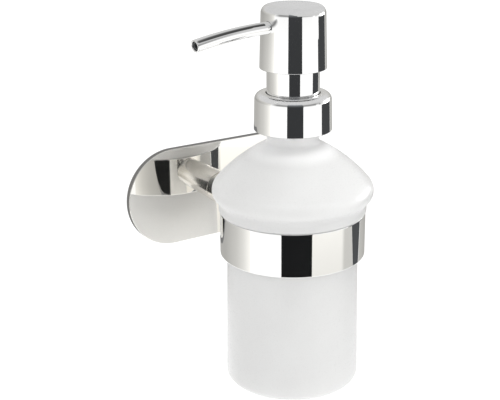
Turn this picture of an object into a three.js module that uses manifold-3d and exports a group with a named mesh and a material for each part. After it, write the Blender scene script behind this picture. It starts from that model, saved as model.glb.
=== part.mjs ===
// Wall mounted soap dispenser. A frosted glass bottle hangs by its shoulder in a polished steel
// ring, the ring stands off an oblong wall plate on a round post, and a metal pump is screwed onto
// the bottle's neck.
//
// Units are millimetres. X runs along the wall, +Y goes into the wall and +Z is up. The origin is
// the middle of the face that meets the wall. Everything on the bottle's axis is built around Z
// and then placed by its group, so radii and heights read as they would on a lathe.

import * as THREE from 'three';
import { mergeVertices } from 'three/addons/utils/BufferGeometryUtils.js';
import Module from 'manifold-3d';

const wasm = await Module();
wasm.setup();

// ------------------------------------------------------------------ driving dimensions

const axisReach = 68.1; // from the wall to the bottle's axis
const plateWidth = 101;
const plateHeight = 48.4;
const plateDepth = 3.4;

const ringRadius = 33;
const ringWall = 1.6;
const ringBottom = -12.1;
const ringTop = 7.9;

const bottleBottom = -73.7;
const bottleFootRadius = 30.9;
const bottleWaistRadius = 29.5; // where the body meets the shoulder's underside
const shoulderRadius = 36.4; // the widest place of the shoulder
const shoulderHeight = 17.6; // height of that widest place
const glassWall = 3;
const bottleFloor = 5;
const neckRadius = 11.6;
const neckBore = 9.8;
const neckTop = 57;
const threadBottom = 48.7;
const threadPitch = 4.2;

const collarBottom = 45.6;
const collarTop = 62.1;
const collarBottomRadius = 17.3;
const collarTopRadius = 17;
const sleeveRadius = 11.65;
const sleeveTop = 78;

const headBottom = 73;
const headTop = 100.2;
const headBottomRadius = 14.75;
const headTopRadius = 14.1;
const headStroke = 10;

const spoutHeight = 91.8;
const spoutRadius = 2.6;
const spoutBore = 1.95;
const spoutReach = 51.6; // from the head's axis to the tip
const spoutBend = 230; // radius of the tube's gentle bend
const spoutTurn = 6; // degrees that the spout points away from the wall

const stemRadius = 3;
const stemBore = 1.2;
const barrelRadius = 5.8;
const barrelBore = 4.6;

const sheet = 0.8; // pressed metal of the plate, collar and head
const gap = 0.1; // between fixed pieces that touch
const runGap = 0.3; // between pieces that turn or slide in each other

const wideSides = 36;
const narrowSides = 20;

// ------------------------------------------------------------------ materials

function metal(color, roughness) {
  return new THREE.MeshStandardMaterial({ color, roughness, metalness: 1 });
}

function plastic(color, roughness) {
  return new THREE.MeshStandardMaterial({ color, roughness, metalness: 0 });
}

const polishedSteel = metal(0xd8dadb, 0.06);
const screwSteel = metal(0xa9adb0, 0.3);
const springSteel = metal(0x9da1a4, 0.25);
const frostedGlass = new THREE.MeshStandardMaterial({
  color: 0xe8ebea,
  roughness: 0.55,
  transparent: true,
  opacity: 0.8,
});
const whitePlastic = plastic(0xf0f0ee, 0.45);
const clearPlastic = plastic(0xdfe4e4, 0.3);
const greyRubber = plastic(0x6f7274, 0.75);
const whiteFoam = plastic(0xdcdcd8, 0.9);

// ------------------------------------------------------------------ solids and meshes

// Turns a closed geometry into a solid that can be joined and cut.
function toSolid(geometry) {
  const bare = geometry.clone();
  bare.deleteAttribute('normal');
  bare.deleteAttribute('uv');
  const merged = mergeVertices(bare, 1e-4);
  const index = merged.index.array;
  const triangles = [];
  for (let i = 0; i < index.length; i += 3) {
    const [a, b, c] = [index[i], index[i + 1], index[i + 2]];
    if (a !== b && b !== c && c !== a) triangles.push(a, b, c);
  }
  return new wasm.Manifold(
    new wasm.Mesh({
      numProp: 3,
      vertProperties: new Float32Array(merged.attributes.position.array),
      triVerts: new Uint32Array(triangles),
    }),
  );
}

function toGeometry(solid) {
  const result = solid.getMesh();
  const geometry = new THREE.BufferGeometry();
  geometry.setAttribute('position', new THREE.BufferAttribute(result.vertProperties, 3));
  geometry.setIndex(new THREE.BufferAttribute(result.triVerts, 1));
  geometry.computeVertexNormals();
  return geometry;
}

function piece(name, solid, material) {
  const mesh = new THREE.Mesh(toGeometry(solid), material);
  mesh.name = name;
  return mesh;
}

// ------------------------------------------------------------------ profiles and shapes

// Points of an arc in a radius and height profile, with angles in degrees from the outward
// direction towards +Z.
function arc(centreRadius, centreHeight, radius, fromAngle, toAngle, steps) {
  const points = [];
  for (let i = 0; i <= steps; i += 1) {
    const angle = THREE.MathUtils.degToRad(fromAngle + ((toAngle - fromAngle) * i) / steps);
    points.push([
      centreRadius + radius * Math.cos(angle),
      centreHeight + radius * Math.sin(angle),
    ]);
  }
  return points;
}

// A solid of revolution around Z. The profile runs anticlockwise, with the radius to the right and
// the height up. It starts and ends on the axis, or closes on itself.
function turned(profile, sides) {
  const points = profile.map(([radius, height]) => new THREE.Vector2(radius, height));
  if (profile[0][0] > 0) points.push(points[0].clone());
  const geometry = new THREE.LatheGeometry(points, sides);
  geometry.rotateX(Math.PI / 2);
  return toSolid(geometry);
}

function rod(radius, bottom, top, sides) {
  return turned([[0, bottom], [radius, bottom], [radius, top], [0, top]], sides);
}

function tube(radius, bore, bottom, top, sides) {
  return turned([[bore, bottom], [radius, bottom], [radius, top], [bore, top]], sides);
}

// A rod whose axis points from the wall towards the room, between two distances from the wall.
function wallRod(radius, near, far, sides) {
  const geometry = new THREE.CylinderGeometry(radius, radius, far - near, sides);
  geometry.translate(0, -(near + far) / 2, 0);
  return toSolid(geometry);
}

// An upright oblong with round ends, between two distances from the wall.
function wallOblong(width, height, near, far) {
  const radius = height / 2;
  const straight = (width - height) / 2;
  const outline = new THREE.Shape();
  outline.absarc(straight, 0, radius, -Math.PI / 2, Math.PI / 2);
  outline.absarc(-straight, 0, radius, Math.PI / 2, (3 * Math.PI) / 2);
  const geometry = new THREE.ExtrudeGeometry(outline, {
    depth: far - near,
    curveSegments: 16,
    bevelEnabled: false,
  });
  geometry.rotateX(Math.PI / 2);
  geometry.translate(0, -near, 0);
  return toSolid(geometry);
}

function circleOutline(radius, sides) {
  const outline = new THREE.Shape();
  for (let i = 0; i < sides; i += 1) {
    const angle = (i / sides) * Math.PI * 2;
    const x = radius * Math.cos(angle);
    const y = radius * Math.sin(angle);
    if (i === 0) outline.moveTo(x, y);
    else outline.lineTo(x, y);
  }
  outline.closePath();
  return outline;
}

// A round section carried along a curve.
function swept(curve, radius, sides, steps) {
  const geometry = new THREE.ExtrudeGeometry(circleOutline(radius, sides), {
    steps,
    bevelEnabled: false,
    extrudePath: curve,
  });
  return toSolid(geometry);
}

// A right-handed helix around Z. rise(t) gives the height at the share t of the way.
class Helix extends THREE.Curve {
  constructor(radius, turns, rise) {
    super();
    this.radius = radius;
    this.turns = turns;
    this.rise = rise;
  }

  getPoint(t, target = new THREE.Vector3()) {
    const angle = t * this.turns * Math.PI * 2;
    return target.set(this.radius * Math.cos(angle), this.radius * Math.sin(angle), this.rise(t));
  }
}

// One rounded screw ridge that starts at a height and climbs with the bottle's pitch.
function threadRidge(radius, ridgeRadius, bottom, turns) {
  const helix = new Helix(radius, turns, (t) => bottom + t * turns * threadPitch);
  return swept(helix, ridgeRadius, 6, Math.round(turns * 24));
}

// ------------------------------------------------------------------ wall side

const coverInside = plateDepth - sheet;
const padDepth = 0.8;
const postScrewHole = 2.7;
const screwHeadRadius = 4.5;
const screwHeadDepth = 1.4;
const screwShankRadius = 2.4;
const screwReach = 11; // how far the screw goes into the post
const hexRadius = 1.7;
const hexDepth = 2;
const postRootRadius = 7.8;
const postTipRadius = 7;
const postLength = axisReach - ringRadius - plateDepth;
const spigotRadius = 3;

function wallPlate() {
  const rimToWall = 0.2;
  const cover = wallOblong(plateWidth, plateHeight, rimToWall, plateDepth);
  const hollow = wallOblong(plateWidth - 2 * sheet, plateHeight - 2 * sheet, 0, coverInside);
  const hole = wallRod(postScrewHole, coverInside - 1, plateDepth + 1, narrowSides);
  return cover.subtract(hollow).subtract(hole);
}

function wallAdapter() {
  const inset = sheet + runGap;
  const front = coverInside - gap;
  const plate = wallOblong(plateWidth - 2 * inset, plateHeight - 2 * inset, padDepth, front);
  const window = wallRod(screwHeadRadius + 1.5, 0, plateDepth, narrowSides);
  return plate.subtract(window);
}

function adhesivePad() {
  const inset = 4;
  return wallOblong(plateWidth - 2 * inset, plateHeight - 2 * inset, 0, padDepth);
}

// The screw passes through the cover from behind and ends inside the post.
function postScrew() {
  const headFace = coverInside - gap;
  const head = wallRod(screwHeadRadius, headFace - screwHeadDepth, headFace, narrowSides);
  const shank = wallRod(screwShankRadius, headFace - 0.2, plateDepth + screwReach, narrowSides);
  const hexSocket = wallRod(hexRadius, headFace - hexDepth, headFace - 0.5, 6);
  return head.add(shank).subtract(hexSocket);
}

// The post tapers slightly towards the ring. Its end is hollowed to the band's curve, and a spigot
// goes through the band and is ground flush inside it.
function supportPost() {
  const near = plateDepth + gap;
  const overrun = 4; // length that the ring's curve cuts away
  const far = axisReach - ringRadius + overrun;
  const taperRate = (postRootRadius - postTipRadius) / postLength;
  const tipAtFar = postTipRadius - taperRate * overrun;
  const taper = new THREE.CylinderGeometry(postRootRadius, tipAtFar, far - near, narrowSides * 2);
  taper.translate(0, -(near + far) / 2, 0);
  const ringOutside = rod(ringRadius + gap, -30, 30, wideSides).translate(0, -axisReach, 0);
  const ringInside = rod(ringRadius - ringWall, -30, 30, wideSides).translate(0, -axisReach, 0);
  const spigotEnd = axisReach - ringRadius + ringWall + 2;
  const spigot = wallRod(spigotRadius, plateDepth + 20, spigotEnd, narrowSides);
  const holeDepth = plateDepth + screwReach + 2;
  const threadedHole = wallRod(screwShankRadius + gap, 0, holeDepth, narrowSides);
  const body = toSolid(taper).subtract(ringOutside);
  return body.add(spigot.subtract(ringInside)).subtract(threadedHole);
}

// The steel band, in the bottle's frame. Its edges are rounded and its back is drilled for the post.
function ringBand() {
  const edge = 0.4;
  const inside = ringRadius - ringWall;
  const band = turned(
    [
      [inside, ringBottom],
      ...arc(ringRadius - edge, ringBottom + edge, edge, -90, 0, 2),
      ...arc(ringRadius - edge, ringTop - edge, edge, 0, 90, 2),
      [inside, ringTop],
    ],
    wideSides,
  );
  const drilling = wallRod(spigotRadius + gap, 0, axisReach, narrowSides).translate(0, axisReach, 0);
  return band.subtract(drilling);
}

// ------------------------------------------------------------------ bottle

// The shoulder is a flat dome that turns in sharply at its widest place and ends in a short lip,
// which rests on the ring.
function glassBottle() {
  const footFillet = 2.5;
  const lipRadius = 33.4;
  const lipBottom = ringTop + gap;
  const lipFillet = 0.9;
  const underArc = 4.5;
  const edgeArc = 6.75;
  const domeArc = 73.8;
  const edgeAngle = 41; // where the sharp turn meets the dome, from the outward direction
  const neckFillet = 2;
  const rimFillet = 0.6;
  const floorFillet = 4;
  const ridgeRadius = 1.1;
  const ridgeTurns = 1.5;

  const overhang = shoulderRadius - lipRadius;
  const underAngle = THREE.MathUtils.radToDeg(Math.acos(1 - overhang / (2 * underArc)));
  const lipTop = shoulderHeight - 2 * underArc * Math.sin(THREE.MathUtils.degToRad(underAngle));
  const edgeRadians = THREE.MathUtils.degToRad(edgeAngle);
  const edgeCentre = shoulderRadius - edgeArc;
  const domeCentre = edgeCentre + (edgeArc - domeArc) * Math.cos(edgeRadians);
  const domeCentreHeight = shoulderHeight + (edgeArc - domeArc) * Math.sin(edgeRadians);
  const domeEnd = Math.acos((neckRadius + neckFillet - domeCentre) / (domeArc + neckFillet));
  const domeAngle = THREE.MathUtils.radToDeg(domeEnd);
  const filletHeight = domeCentreHeight + (domeArc + neckFillet) * Math.sin(domeEnd);
  const floorRadius = bottleFootRadius - glassWall - floorFillet;
  const floorHeight = bottleBottom + bottleFloor;

  const outside = [
    [0, bottleBottom],
    ...arc(bottleFootRadius - footFillet, bottleBottom + footFillet, footFillet, -90, 0, 3),
    [bottleWaistRadius, lipBottom],
    ...arc(lipRadius - lipFillet, lipBottom + lipFillet, lipFillet, -90, 0, 2),
    ...arc(lipRadius + underArc, lipTop, underArc, 180, 180 - underAngle, 3),
    ...arc(shoulderRadius - underArc, shoulderHeight, underArc, -underAngle, 0, 3).slice(1),
    ...arc(edgeCentre, shoulderHeight, edgeArc, 0, edgeAngle, 3).slice(1),
    ...arc(domeCentre, domeCentreHeight, domeArc, edgeAngle, domeAngle, 4).slice(1),
    ...arc(neckRadius + neckFillet, filletHeight, neckFillet, 180 + domeAngle, 180, 3).slice(1),
    ...arc(neckRadius - rimFillet, neckTop - rimFillet, rimFillet, 0, 90, 2),
  ];
  const inside = [
    ...arc(neckBore + rimFillet, neckTop - rimFillet, rimFillet, 90, 180, 2),
    [neckBore, filletHeight - glassWall],
    ...arc(domeCentre, domeCentreHeight, domeArc - glassWall, domeAngle - 1, edgeAngle, 3),
    ...arc(edgeCentre, shoulderHeight, edgeArc - glassWall, edgeAngle, -40, 3).slice(1),
    [bottleWaistRadius - glassWall, ringTop - 1],
    ...arc(floorRadius, floorHeight + floorFillet, floorFillet, 0, -90, 2),
    [0, floorHeight],
  ];
  const body = turned([...outside, ...inside], wideSides);
  const ridge = threadRidge(neckRadius + 0.1, ridgeRadius, threadBottom, ridgeTurns);
  return body.add(ridge);
}

// ------------------------------------------------------------------ pump parts fixed to the neck

const gasketTop = neckTop + gap + 0.9;
const flangeBottom = gasketTop + gap;
const flangeTop = flangeBottom + 1.2;
const closureRoof = flangeTop + gap;
const flangeRadius = neckRadius - 0.2;
const barrelFloor = 27;
const seatHeight = 22.5;
const socketBottom = 14;
const inletBallRadius = 2;
const inletSeatBore = 1.6;
const seatThickness = 1.2;
const lockRingDepth = 6;
const springSeatTop = barrelFloor + 1.2;

function neckGasket() {
  return tube(flangeRadius, neckBore, neckTop + gap, gasketTop, wideSides);
}

// The flange hangs on the gasket. Below the cylinder are the ball cage, the valve seat and the
// socket of the dip tube.
function pumpHousing() {
  const cageBore = 3.1;
  const socketBore = 3;
  const socketRadius = 4.2;
  const ventRadius = 0.6;
  const shell = turned(
    [
      [socketBore, socketBottom],
      [socketRadius, socketBottom],
      [socketRadius, barrelFloor - 3],
      [barrelRadius, barrelFloor],
      [barrelRadius, flangeBottom],
      [flangeRadius, flangeBottom],
      [flangeRadius, flangeTop],
      [barrelBore, flangeTop],
      [barrelBore, barrelFloor],
      [cageBore, barrelFloor],
      [cageBore, seatHeight],
      [inletSeatBore, seatHeight],
      [inletSeatBore, seatHeight - seatThickness],
      [socketBore, seatHeight - seatThickness],
    ],
    narrowSides,
  );
  const ventHole = new THREE.CylinderGeometry(ventRadius, ventRadius, 4, 8);
  ventHole.rotateZ(Math.PI / 2);
  ventHole.translate(barrelRadius - 0.5, 0, flangeBottom - 3);
  return shell.subtract(toSolid(ventHole));
}

// The ring keeps the stem in the cylinder. It plugs into the cylinder's mouth and has a rim on top.
function lockRing() {
  const bore = stemRadius + runGap;
  const rimRadius = 6.8;
  const rimTop = flangeTop + 2.2;
  return turned(
    [
      [bore, flangeTop - lockRingDepth],
      [barrelBore - gap, flangeTop - lockRingDepth],
      [barrelBore - gap, flangeTop + gap],
      [rimRadius, flangeTop + gap],
      [rimRadius, rimTop],
      [bore, rimTop],
    ],
    narrowSides,
  );
}

// A straight tube with a slanted lower end, so that it can't seal itself on the bottle's floor.
function dipTube() {
  const radius = 2.9;
  const bore = 2.2;
  const slant = 30; // degrees
  const slantRise = 1.8; // of the slanted cut on the tube's axis
  const bottom = bottleBottom + bottleFloor + 0.8;
  const straight = tube(radius, bore, bottom, seatHeight - seatThickness - gap, narrowSides);
  const wedge = new THREE.BoxGeometry(20, 20, 10);
  wedge.translate(0, 0, -5);
  wedge.rotateY(THREE.MathUtils.degToRad(slant));
  wedge.translate(0, 0, bottom + slantRise);
  return straight.subtract(toSolid(wedge));
}

// A slotted seat that keeps the ball in its cage and carries the spring.
function springSeat() {
  const feedHole = 1.3;
  const slotLength = 5.4;
  const slotWidth = 1.2;
  const disc = tube(barrelBore - gap, feedHole, barrelFloor + gap, springSeatTop, narrowSides);
  const slot = new THREE.BoxGeometry(slotLength, slotWidth, 4);
  slot.translate(0, 0, barrelFloor);
  return disc.subtract(toSolid(slot));
}

const springBottom = springSeatTop + gap;
const springLength = 19.8; // with the pump at rest
const stemFoot = springBottom + springLength;
const springWire = 0.45;

// The end coils lie flat on their seats, and the middle coils carry the rise.
function returnSpring() {
  const coilRadius = 3.5;
  const turns = 7;
  const low = springBottom + springWire + 0.05;
  const high = stemFoot - springWire - 0.15;
  const flatShare = 1 / turns;
  const flatRise = 2 * springWire + 0.1;
  const rise = (t) => {
    if (t < flatShare) return low + flatRise * (t / flatShare);
    if (t > 1 - flatShare) return high - flatRise * ((1 - t) / flatShare);
    const middle = (t - flatShare) / (1 - 2 * flatShare);
    return low + flatRise + middle * (high - low - 2 * flatRise);
  };
  return swept(new Helix(coilRadius, turns, rise), springWire, 5, turns * 12);
}

function inletBall() {
  const rest = seatHeight + Math.sqrt(inletBallRadius ** 2 - inletSeatBore ** 2) + gap;
  const ball = new THREE.SphereGeometry(inletBallRadius, 16, 10);
  ball.rotateX(Math.PI / 2);
  ball.translate(0, 0, rest);
  return toSolid(ball);
}

// ------------------------------------------------------------------ collar

const closureRadius = 16.1;
const closureBore = 13.3;
const closureShoulder = collarTop - 3.4; // where the closure slopes in under the collar's round edge
const closureTop = closureRoof + 1.5;
const chimneyRadius = 10.9;
const chimneyTop = 70;

function collarShell() {
  const fillet = 3;
  const holeRadius = sleeveRadius + 0.4;
  return turned(
    [
      [collarBottomRadius - sheet, collarBottom],
      [collarBottomRadius, collarBottom],
      ...arc(collarTopRadius - fillet, collarTop - fillet, fillet, 0, 90, 4),
      [holeRadius, collarTop],
      [holeRadius, collarTop - sheet],
      ...arc(collarTopRadius - fillet, collarTop - fillet, fillet - sheet, 90, 0, 3),
    ],
    wideSides,
  );
}

// The plastic cap inside the collar. Its chimney carries the sleeve and leaves room for the stem.
function threadedClosure() {
  const bottom = collarBottom + 0.5;
  const chimneyBore = 8.4;
  const roofHole = 7.3;
  const ridgeRadius = 1.05;
  const ridgeTurns = 1.25;
  const ridgeBottom = threadBottom - threadPitch / 2;
  const body = turned(
    [
      [closureBore, bottom],
      [closureRadius, bottom],
      [closureRadius, closureShoulder],
      [closureRadius - 2, closureTop],
      [chimneyRadius, closureTop],
      [chimneyRadius, chimneyTop],
      [chimneyBore, chimneyTop],
      [chimneyBore, closureTop],
      [roofHole, closureTop],
      [roofHole, closureRoof],
      [closureBore, closureRoof],
    ],
    wideSides,
  );
  const ridge = threadRidge(closureBore + 0.2, ridgeRadius, ridgeBottom, ridgeTurns);
  return body.add(ridge);
}

function metalSleeve() {
  return tube(sleeveRadius, chimneyRadius + gap, closureTop + gap, sleeveTop, wideSides);
}

// ------------------------------------------------------------------ plunger and head

const footThickness = 0.9;
const pistonBottom = stemFoot + footThickness + gap;
const pistonTop = flangeTop - lockRingDepth - gap;
const stemWaist = 2.2; // the stem's radius inside the piston
const stemTop = 84;
const outletBallRadius = 1.6;
const spoutRoot = 6.4; // where the spout ends inside the head
const spoutStraightEnd = 13;
const linerBore = 1.2;
const linerInset = 0.6; // how far the liner stops short of the spout's tip

// A soft cup with a lip at each end, which wipes the cylinder.
function pistonSeal() {
  const bore = stemWaist + gap;
  const lip = barrelBore - gap;
  const waist = barrelBore - 0.7;
  return turned(
    [
      [bore, pistonBottom],
      [lip, pistonBottom],
      [lip, pistonBottom + 0.8],
      [waist, pistonBottom + 1.4],
      [waist, pistonTop - 1.4],
      [lip, pistonTop - 0.8],
      [lip, pistonTop],
      [bore, pistonTop],
    ],
    narrowSides,
  );
}

function pistonStem() {
  return turned(
    [
      [stemBore, stemFoot],
      [barrelBore - 0.4, stemFoot],
      [barrelBore - 0.4, stemFoot + footThickness],
      [stemWaist, stemFoot + footThickness],
      [stemWaist, pistonTop + gap],
      [stemRadius, pistonTop + gap],
      [stemRadius, stemTop],
      [stemBore, stemTop],
    ],
    narrowSides,
  );
}

function outletBall() {
  const rest = stemTop + Math.sqrt(outletBallRadius ** 2 - stemBore ** 2) + gap;
  const ball = new THREE.SphereGeometry(outletBallRadius, 16, 10);
  ball.rotateX(Math.PI / 2);
  ball.translate(0, 0, rest);
  return toSolid(ball);
}

// A rod along the spout's direction, between two distances from the head's axis.
function spoutRod(radius, near, far) {
  const geometry = new THREE.CylinderGeometry(radius, radius, far - near, narrowSides);
  geometry.rotateZ(Math.PI / 2);
  geometry.translate(-(near + far) / 2, 0, spoutHeight);
  return toSolid(geometry);
}

function headShell() {
  const fillet = 3.6;
  const shell = turned(
    [
      [0, headTop - sheet],
      ...arc(headTopRadius - fillet, headTop - fillet, fillet - sheet, 90, 0, 3),
      [headBottomRadius - sheet, headBottom],
      [headBottomRadius, headBottom],
      ...arc(headTopRadius - fillet, headTop - fillet, fillet, 0, 90, 4),
      [0, headTop],
    ],
    wideSides,
  );
  const spoutHole = spoutRod(spoutRadius + gap, 8, 20);
  return shell.subtract(spoutHole);
}

// The core grips the stem from below, guides the liquid across to the spout and fills the cap.
function actuatorInsert() {
  const radius = headTopRadius - sheet - runGap;
  const roof = headTop - sheet - runGap;
  const underside = sleeveTop + headStroke + 0.6;
  const ballBore = 2.2;
  const ballRoof = spoutHeight + 1.4;
  const grip = stemRadius + gap;
  const bossRadius = stemRadius + 2.2;
  const bossBottom = headBottom + 3;
  const core = turned(
    [
      [0, ballRoof],
      [ballBore, ballRoof],
      [ballBore, stemTop + runGap],
      [grip, stemTop + runGap],
      [grip, bossBottom],
      [bossRadius, bossBottom],
      [bossRadius, underside],
      [radius, underside],
      [radius, roof - 3.6],
      [radius - 2.8, roof],
      [0, roof],
    ],
    wideSides,
  );
  const channelRadius = 1.4;
  const channel = spoutRod(channelRadius, 0, 8);
  const socket = spoutRod(spoutRadius + gap, spoutRoot, 20);
  return core.subtract(channel).subtract(socket);
}

// The spout's centre line: straight out of the head, then one gentle bend downwards.
class SpoutLine extends THREE.Curve {
  constructor(start, reach) {
    super();
    this.start = start;
    this.bendAngle = Math.asin((reach - spoutStraightEnd) / spoutBend);
    this.straight = spoutStraightEnd - start;
    this.total = this.straight + this.bendAngle * spoutBend;
  }

  getPoint(t, target = new THREE.Vector3()) {
    const along = t * this.total;
    if (along < this.straight) return target.set(-(this.start + along), 0, spoutHeight);
    const angle = (along - this.straight) / spoutBend;
    const out = spoutStraightEnd + spoutBend * Math.sin(angle);
    return target.set(-out, 0, spoutHeight - spoutBend * (1 - Math.cos(angle)));
  }
}

function bentTube(radius, bore, start, reach, sides) {
  const line = new SpoutLine(start, reach);
  const outline = circleOutline(radius, sides);
  outline.holes.push(circleOutline(bore, sides));
  const geometry = new THREE.ExtrudeGeometry(outline, {
    steps: 10,
    bevelEnabled: false,
    extrudePath: line,
  });
  return toSolid(geometry);
}

// ------------------------------------------------------------------ assembly

function wallSide() {
  const group = new THREE.Group();
  group.add(piece('adhesive_pad', adhesivePad(), whiteFoam));
  group.add(piece('wall_adapter', wallAdapter(), whitePlastic));
  group.add(piece('wall_plate', wallPlate(), polishedSteel));
  group.add(piece('post_screw', postScrew(), screwSteel));
  group.add(piece('support_post', supportPost(), polishedSteel));
  return group;
}

function pumpHead() {
  const group = new THREE.Group();
  group.rotation.z = THREE.MathUtils.degToRad(spoutTurn);
  group.add(piece('piston_stem', pistonStem(), whitePlastic));
  group.add(piece('actuator_insert', actuatorInsert(), whitePlastic));
  group.add(piece('head_shell', headShell(), polishedSteel));
  const spout = bentTube(spoutRadius, spoutBore, spoutRoot + gap, spoutReach, 16);
  group.add(piece('spout_tube', spout, polishedSteel));
  const liner = bentTube(spoutBore - gap, linerBore, spoutRoot + gap, spoutReach - linerInset, 12);
  group.add(piece('spout_liner', liner, clearPlastic));
  return group;
}

function bottleSide() {
  const group = new THREE.Group();
  group.position.y = -axisReach;
  group.add(piece('ring_band', ringBand(), polishedSteel));
  group.add(piece('glass_bottle', glassBottle(), frostedGlass));
  group.add(piece('neck_gasket', neckGasket(), greyRubber));
  group.add(piece('pump_housing', pumpHousing(), clearPlastic));
  group.add(piece('lock_ring', lockRing(), whitePlastic));
  group.add(piece('dip_tube', dipTube(), clearPlastic));
  group.add(piece('spring_seat', springSeat(), whitePlastic));
  group.add(piece('inlet_ball', inletBall(), springSteel));
  group.add(piece('return_spring', returnSpring(), springSteel));
  group.add(piece('piston_seal', pistonSeal(), greyRubber));
  group.add(piece('outlet_ball', outletBall(), springSteel));
  group.add(piece('collar_shell', collarShell(), polishedSteel));
  group.add(piece('threaded_closure', threadedClosure(), whitePlastic));
  group.add(piece('metal_sleeve', metalSleeve(), polishedSteel));
  group.add(pumpHead());
  return group;
}

const dispenser = new THREE.Group();
dispenser.add(wallSide());
dispenser.add(bottleSide());

export default dispenser;
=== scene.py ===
"""Looks of the wall mounted soap dispenser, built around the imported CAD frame.

Lengths are metres in the frame's own axes: X along the wall, +Y into the wall, +Z up. A surface is
a list of rings of points that are joined one after another, and a profile is a list of
(radius, height) pairs.
"""

import math

import bmesh
import bpy
from mathutils import Matrix, Vector


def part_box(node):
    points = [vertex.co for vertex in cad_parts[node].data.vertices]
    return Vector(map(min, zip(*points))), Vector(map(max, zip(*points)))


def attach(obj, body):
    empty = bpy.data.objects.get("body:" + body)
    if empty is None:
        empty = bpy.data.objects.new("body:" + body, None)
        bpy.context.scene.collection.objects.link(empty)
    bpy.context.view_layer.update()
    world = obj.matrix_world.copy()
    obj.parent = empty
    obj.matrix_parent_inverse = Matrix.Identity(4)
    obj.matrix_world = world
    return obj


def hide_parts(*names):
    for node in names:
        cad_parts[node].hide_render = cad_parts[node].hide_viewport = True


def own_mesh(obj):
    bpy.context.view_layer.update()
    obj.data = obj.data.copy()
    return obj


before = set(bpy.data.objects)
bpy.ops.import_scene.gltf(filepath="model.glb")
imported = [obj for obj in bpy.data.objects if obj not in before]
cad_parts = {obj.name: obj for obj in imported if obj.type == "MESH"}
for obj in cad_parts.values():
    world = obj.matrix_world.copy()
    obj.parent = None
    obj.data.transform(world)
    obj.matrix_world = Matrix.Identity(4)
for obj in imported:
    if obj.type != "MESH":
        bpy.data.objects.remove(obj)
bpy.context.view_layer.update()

MM = 0.001
SIDES = 128  # of a round body
DRILL_SIDES = 64
DRILL_TWIST = math.radians(1.3)  # keeps the points of a hole apart from those of the wall that it cuts
SHARP = math.radians(32)  # a turn sharper than this shows as an edge


# ------------------------------------------------------------------ places taken from the frame


def node_box(node):
    low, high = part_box(node)
    return low, high, (high - low) / 2


def box_radius(node):
    return node_box(node)[2].x


BOTTLE_LOW, BOTTLE_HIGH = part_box("glass_bottle")
RING_LOW, RING_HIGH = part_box("ring_band")
HEAD_LOW, HEAD_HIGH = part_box("head_shell")
SLEEVE_LOW, SLEEVE_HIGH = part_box("metal_sleeve")
COLLAR_LOW, COLLAR_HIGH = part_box("collar_shell")
PLATE_LOW, PLATE_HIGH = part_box("wall_plate")
POST_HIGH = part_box("support_post")[1]

AXIS = Vector((0, (HEAD_LOW.y + HEAD_HIGH.y) / 2, 0))  # the bottle's upright axis
RING_RADIUS = box_radius("ring_band")
PLATE_FACE = PLATE_LOW.y

SHEET = 0.8 * MM  # thickness of the pressed metal covers
GAP = 0.1 * MM  # between pieces that fit into each other
POLE = 1e-9  # radius of a ring that is merged into one point
MERGE = 1e-7
RING_INSIDE = RING_RADIUS - 1.6 * MM
SPIGOT_RADIUS = 3 * MM
NECK_RADIUS = 11.6 * MM


# ------------------------------------------------------------------ surfaces


def arc(centre_radius, centre_height, radius, start, end, steps):
    """Profile points round an arc, with angles in degrees from the outward direction."""
    points = []
    for i in range(steps + 1):
        angle = math.radians(start + (end - start) * i / steps)
        points.append((centre_radius + radius * math.cos(angle), centre_height + radius * math.sin(angle)))
    return points


def graded(value, *stops):
    """Reads a value off straight lines between stops of (place, value), held level beyond the ends."""
    if value <= stops[0][0]:
        return stops[0][1]
    for (start, first), (end, second) in zip(stops, stops[1:]):
        if value <= end:
            return first + (second - first) * (value - start) / (end - start)
    return stops[-1][1]


def mark_sharp(mesh_data):
    """Shades everything smooth but the sharp edges."""
    for edge in mesh_data.edges:
        if len(edge.link_faces) == 2 and edge.calc_face_angle(0) > SHARP:
            edge.smooth = False
    for face in mesh_data.faces:
        face.smooth = True


def make_object(name, mesh_data):
    bmesh.ops.remove_doubles(mesh_data, verts=mesh_data.verts, dist=MERGE)
    bmesh.ops.recalc_face_normals(mesh_data, faces=mesh_data.faces)
    mark_sharp(mesh_data)
    mesh = bpy.data.meshes.new(name)
    mesh_data.to_mesh(mesh)
    mesh_data.free()
    piece = bpy.data.objects.new(name, mesh)
    bpy.context.scene.collection.objects.link(piece)
    return piece


def add_loft(mesh_data, rings, closed):
    """Joins rings of equal length. A closed loft joins its last ring to its first one."""
    rows = [[mesh_data.verts.new(point) for point in ring] for ring in rings]
    pairs = list(zip(rows, rows[1:]))
    if closed:
        pairs.append((rows[-1], rows[0]))
    count = len(rings[0])
    for lower, upper in pairs:
        for i in range(count):
            j = (i + 1) % count
            mesh_data.faces.new((lower[i], lower[j], upper[j], upper[i]))


def circle(centre, radius, side=Vector((1, 0, 0)), up=Vector((0, 1, 0)), sides=SIDES):
    """Points of a circle in the plane of side and up. A radius of 0 makes a pole."""
    points = []
    for i in range(sides):
        angle = 2 * math.pi * i / sides
        points.append(centre + (side * math.cos(angle) + up * math.sin(angle)) * max(radius, POLE))
    return points


def turned(name, profile, closed=True, sides=SIDES):
    """A body of revolution round the bottle's axis."""
    mesh_data = bmesh.new()
    rings = [circle(AXIS + Vector((0, 0, height)), radius, sides=sides) for radius, height in profile]
    add_loft(mesh_data, rings, closed)
    return make_object(name, mesh_data)


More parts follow.
